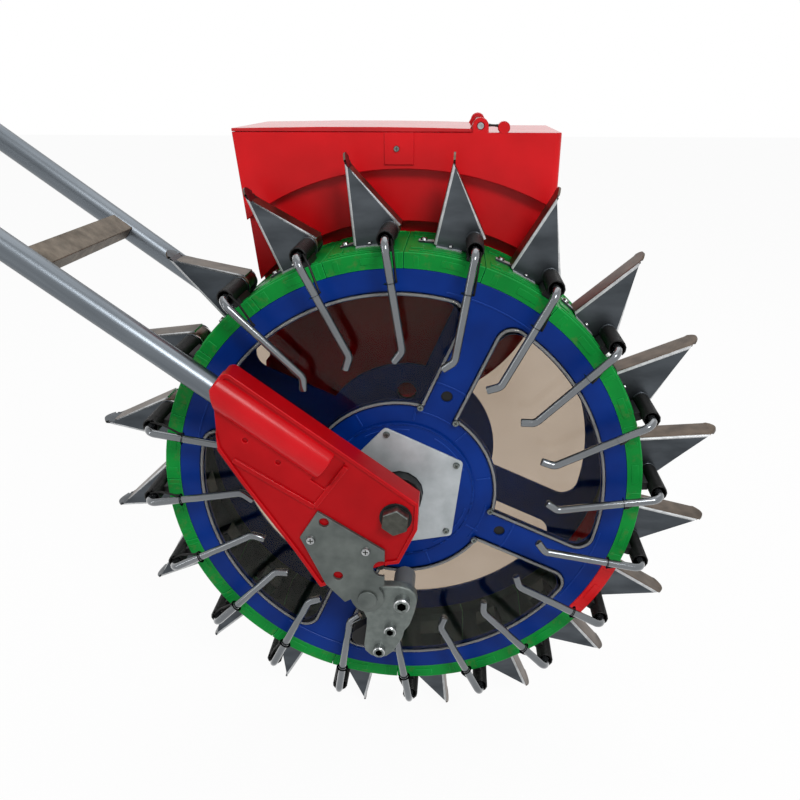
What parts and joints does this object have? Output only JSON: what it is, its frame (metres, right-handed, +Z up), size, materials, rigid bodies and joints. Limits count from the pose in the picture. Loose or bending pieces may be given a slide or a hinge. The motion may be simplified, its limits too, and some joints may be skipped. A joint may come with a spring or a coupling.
{
  "type": "walk-behind seed planter",
  "caption": "Walk-behind drum planter: a rolling seed drum with spring-closed opening beaks round its rim, tripping gear, a side hopper with a hinged lid, and a two-tube push handle.",
  "frame": {"origin": "where the axle crosses the middle plane of the drum", "axes": "+X forward, the way it rolls; +Z up; -Y the side with the tripping gear"},
  "size_m": [1.2336, 0.311, 0.9025],
  "materials": {
    "zinc_steel": "zinc plated, satin",
    "galvanised_tube": "galvanised, satin",
    "bare_bar": "bare mill finish, dull",
    "rod_steel": "bright zinc plated",
    "beak_steel": "bare folded sheet, satin",
    "plate_steel": "pale, satin",
    "spring_steel": "black oxide, satin",
    "cast_alloy": "cast, matt",
    "red_plastic": "moulded, semi-gloss",
    "blue_plastic": "moulded, semi-gloss",
    "green_plastic": "moulded, satin",
    "clear_plastic": "clear, glossy",
    "black_nylon": "moulded, satin",
    "grip_rubber": "moulded, matt"
  },
  "bodies": {
    "frame": {"axle": "zinc_steel", "axle_nut": "zinc_steel", "near_arm": "red_plastic", "far_arm": "red_plastic", "near_lower_tube": "galvanised_tube", "far_lower_tube": "galvanised_tube", "near_upper_tube": "galvanised_tube", "far_upper_tube": "galvanised_tube", "crossbar": "bare_bar", "near_grip": "grip_rubber", "far_grip": "grip_rubber", "trip_plate": "zinc_steel", "trip_pivot": "zinc_steel", "hopper": "red_plastic", "feed_spout": "black_nylon", "lid_pin": "zinc_steel"},
    "drum": {"near_disc": "blue_plastic", "far_disc": "blue_plastic", "near_windows": "clear_plastic", "far_windows": "clear_plastic", "drum_bushes": "black_nylon", "hub_plate": "plate_steel", "rim_segments": "green_plastic", "red_rim_segment": "red_plastic", "seed_cups": "green_plastic", "fixed_beaks": "beak_steel", "spring_coils": "spring_steel"},
    "trip_arm": {"trip_lever": "cast_alloy", "trip_shoe": "black_nylon", "roller_bolt": "zinc_steel"},
    "trip_roller": {"trip_roller": "black_nylon"},
    "lid": {"lid": "red_plastic"},
    "jaw_01": {"jaw_lever_01": "rod_steel"},
    "jaw_02": {"jaw_lever_02": "rod_steel"},
    "jaw_03": {"jaw_lever_03": "rod_steel"},
    "jaw_04": {"jaw_lever_04": "rod_steel"},
    "jaw_05": {"jaw_lever_05": "rod_steel"},
    "jaw_06": {"jaw_lever_06": "rod_steel"},
    "jaw_07": {"jaw_lever_07": "rod_steel"},
    "jaw_08": {"jaw_lever_08": "rod_steel"},
    "jaw_09": {"jaw_lever_09": "rod_steel"},
    "jaw_10": {"jaw_lever_10": "rod_steel"},
    "jaw_11": {"jaw_lever_11": "rod_steel"},
    "jaw_12": {"jaw_lever_12": "rod_steel"},
    "jaw_13": {"jaw_lever_13": "rod_steel"},
    "jaw_14": {"jaw_lever_14": "rod_steel"},
    "jaw_15": {"jaw_lever_15": "rod_steel"},
    "jaw_16": {"jaw_lever_16": "rod_steel"},
    "jaw_17": {"jaw_lever_17": "rod_steel"},
    "jaw_18": {"jaw_lever_18": "rod_steel"},
    "jaw_19": {"jaw_lever_19": "rod_steel"},
    "jaw_20": {"jaw_lever_20": "rod_steel"}
  },
  "joints": [
    {"name": "drum_spin", "type": "hinge", "parent": "frame", "child": "drum", "pos_m": [0, 0, 0], "axis": [0, 1, 0], "continuous": true},
    {"name": "trip_swing", "type": "hinge", "parent": "frame", "child": "trip_arm", "pos_m": [-0.0293, -0.108, -0.0948], "axis": [0, 1, 0], "range_deg": [-25, 0]},
    {"name": "roller_spin", "type": "hinge", "parent": "trip_arm", "child": "trip_roller", "pos_m": [0.006, -0.084, -0.0995], "axis": [0, 1, 0], "continuous": true},
    {"name": "lid_hinge", "type": "hinge", "parent": "frame", "child": "lid", "pos_m": [0.074, 0.112, 0.356], "axis": [0, 1, 0], "range_deg": [0, 105]},
    {"name": "jaw_01_open", "type": "hinge", "parent": "drum", "child": "jaw_01", "pos_m": [-0.01152, 0, 0.26375], "axis": [0, 1, 0], "range_deg": [0, 15], "stiffness_Nm_per_rad": 0.6, "springref_deg": -20.05},
    {"name": "jaw_02_open", "type": "hinge", "parent": "drum", "child": "jaw_02", "pos_m": [0.07055, 0, 0.2544], "axis": [0, 1, 0], "range_deg": [0, 15], "stiffness_Nm_per_rad": 0.6, "springref_deg": -20.05},
    {"name": "jaw_03_open", "type": "hinge", "parent": "drum", "child": "jaw_03", "pos_m": [0.14571, 0, 0.22015], "axis": [0, 1, 0], "range_deg": [0, 15], "stiffness_Nm_per_rad": 0.6, "springref_deg": -20.05},
    {"name": "jaw_04_open", "type": "hinge", "parent": "drum", "child": "jaw_04", "pos_m": [0.20661, 0, 0.16434], "axis": [0, 1, 0], "range_deg": [0, 15], "stiffness_Nm_per_rad": 0.6, "springref_deg": -20.05},
    {"name": "jaw_05_open", "type": "hinge", "parent": "drum", "child": "jaw_05", "pos_m": [0.24728, 0, 0.09245], "axis": [0, 1, 0], "range_deg": [0, 15], "stiffness_Nm_per_rad": 0.6, "springref_deg": -20.05},
    {"name": "jaw_06_open", "type": "hinge", "parent": "drum", "child": "jaw_06", "pos_m": [0.26375, 0, 0.01152], "axis": [0, 1, 0], "range_deg": [0, 15], "stiffness_Nm_per_rad": 0.6, "springref_deg": -20.05},
    {"name": "jaw_07_open", "type": "hinge", "parent": "drum", "child": "jaw_07", "pos_m": [0.2544, 0, -0.07055], "axis": [0, 1, 0], "range_deg": [0, 15], "stiffness_Nm_per_rad": 0.6, "springref_deg": -20.05},
    {"name": "jaw_08_open", "type": "hinge", "parent": "drum", "child": "jaw_08", "pos_m": [0.22015, 0, -0.14571], "axis": [0, 1, 0], "range_deg": [0, 15], "stiffness_Nm_per_rad": 0.6, "springref_deg": -20.05},
    {"name": "jaw_09_open", "type": "hinge", "parent": "drum", "child": "jaw_09", "pos_m": [0.16434, 0, -0.20661], "axis": [0, 1, 0], "range_deg": [0, 15], "stiffness_Nm_per_rad": 0.6, "springref_deg": -20.05},
    {"name": "jaw_10_open", "type": "hinge", "parent": "drum", "child": "jaw_10", "pos_m": [0.09245, 0, -0.24728], "axis": [0, 1, 0], "range_deg": [0, 15], "stiffness_Nm_per_rad": 0.6, "springref_deg": -20.05},
    {"name": "jaw_11_open", "type": "hinge", "parent": "drum", "child": "jaw_11", "pos_m": [0.01152, 0, -0.26375], "axis": [0, 1, 0], "range_deg": [0, 15], "stiffness_Nm_per_rad": 0.6, "springref_deg": -20.05},
    {"name": "jaw_12_open", "type": "hinge", "parent": "drum", "child": "jaw_12", "pos_m": [-0.07055, 0, -0.2544], "axis": [0, 1, 0], "range_deg": [0, 15], "stiffness_Nm_per_rad": 0.6, "springref_deg": -20.05},
    {"name": "jaw_13_open", "type": "hinge", "parent": "drum", "child": "jaw_13", "pos_m": [-0.14571, 0, -0.22015], "axis": [0, 1, 0], "range_deg": [0, 15], "stiffness_Nm_per_rad": 0.6, "springref_deg": -20.05},
    {"name": "jaw_14_open", "type": "hinge", "parent": "drum", "child": "jaw_14", "pos_m": [-0.20661, 0, -0.16434], "axis": [0, 1, 0], "range_deg": [0, 15], "stiffness_Nm_per_rad": 0.6, "springref_deg": -20.05},
    {"name": "jaw_15_open", "type": "hinge", "parent": "drum", "child": "jaw_15", "pos_m": [-0.24728, 0, -0.09245], "axis": [0, 1, 0], "range_deg": [0, 15], "stiffness_Nm_per_rad": 0.6, "springref_deg": -20.05},
    {"name": "jaw_16_open", "type": "hinge", "parent": "drum", "child": "jaw_16", "pos_m": [-0.26375, 0, -0.01152], "axis": [0, 1, 0], "range_deg": [0, 15], "stiffness_Nm_per_rad": 0.6, "springref_deg": -20.05},
    {"name": "jaw_17_open", "type": "hinge", "parent": "drum", "child": "jaw_17", "pos_m": [-0.2544, 0, 0.07055], "axis": [0, 1, 0], "range_deg": [0, 15], "stiffness_Nm_per_rad": 0.6, "springref_deg": -20.05},
    {"name": "jaw_18_open", "type": "hinge", "parent": "drum", "child": "jaw_18", "pos_m": [-0.22015, 0, 0.14571], "axis": [0, 1, 0], "range_deg": [0, 15], "stiffness_Nm_per_rad": 0.6, "springref_deg": -20.05},
    {"name": "jaw_19_open", "type": "hinge", "parent": "drum", "child": "jaw_19", "pos_m": [-0.16434, 0, 0.20661], "axis": [0, 1, 0], "range_deg": [0, 15], "stiffness_Nm_per_rad": 0.6, "springref_deg": -20.05},
    {"name": "jaw_20_open", "type": "hinge", "parent": "drum", "child": "jaw_20", "pos_m": [-0.09245, 0, 0.24728], "axis": [0, 1, 0], "range_deg": [0, 15], "stiffness_Nm_per_rad": 0.6, "springref_deg": -20.05}
  ]
}
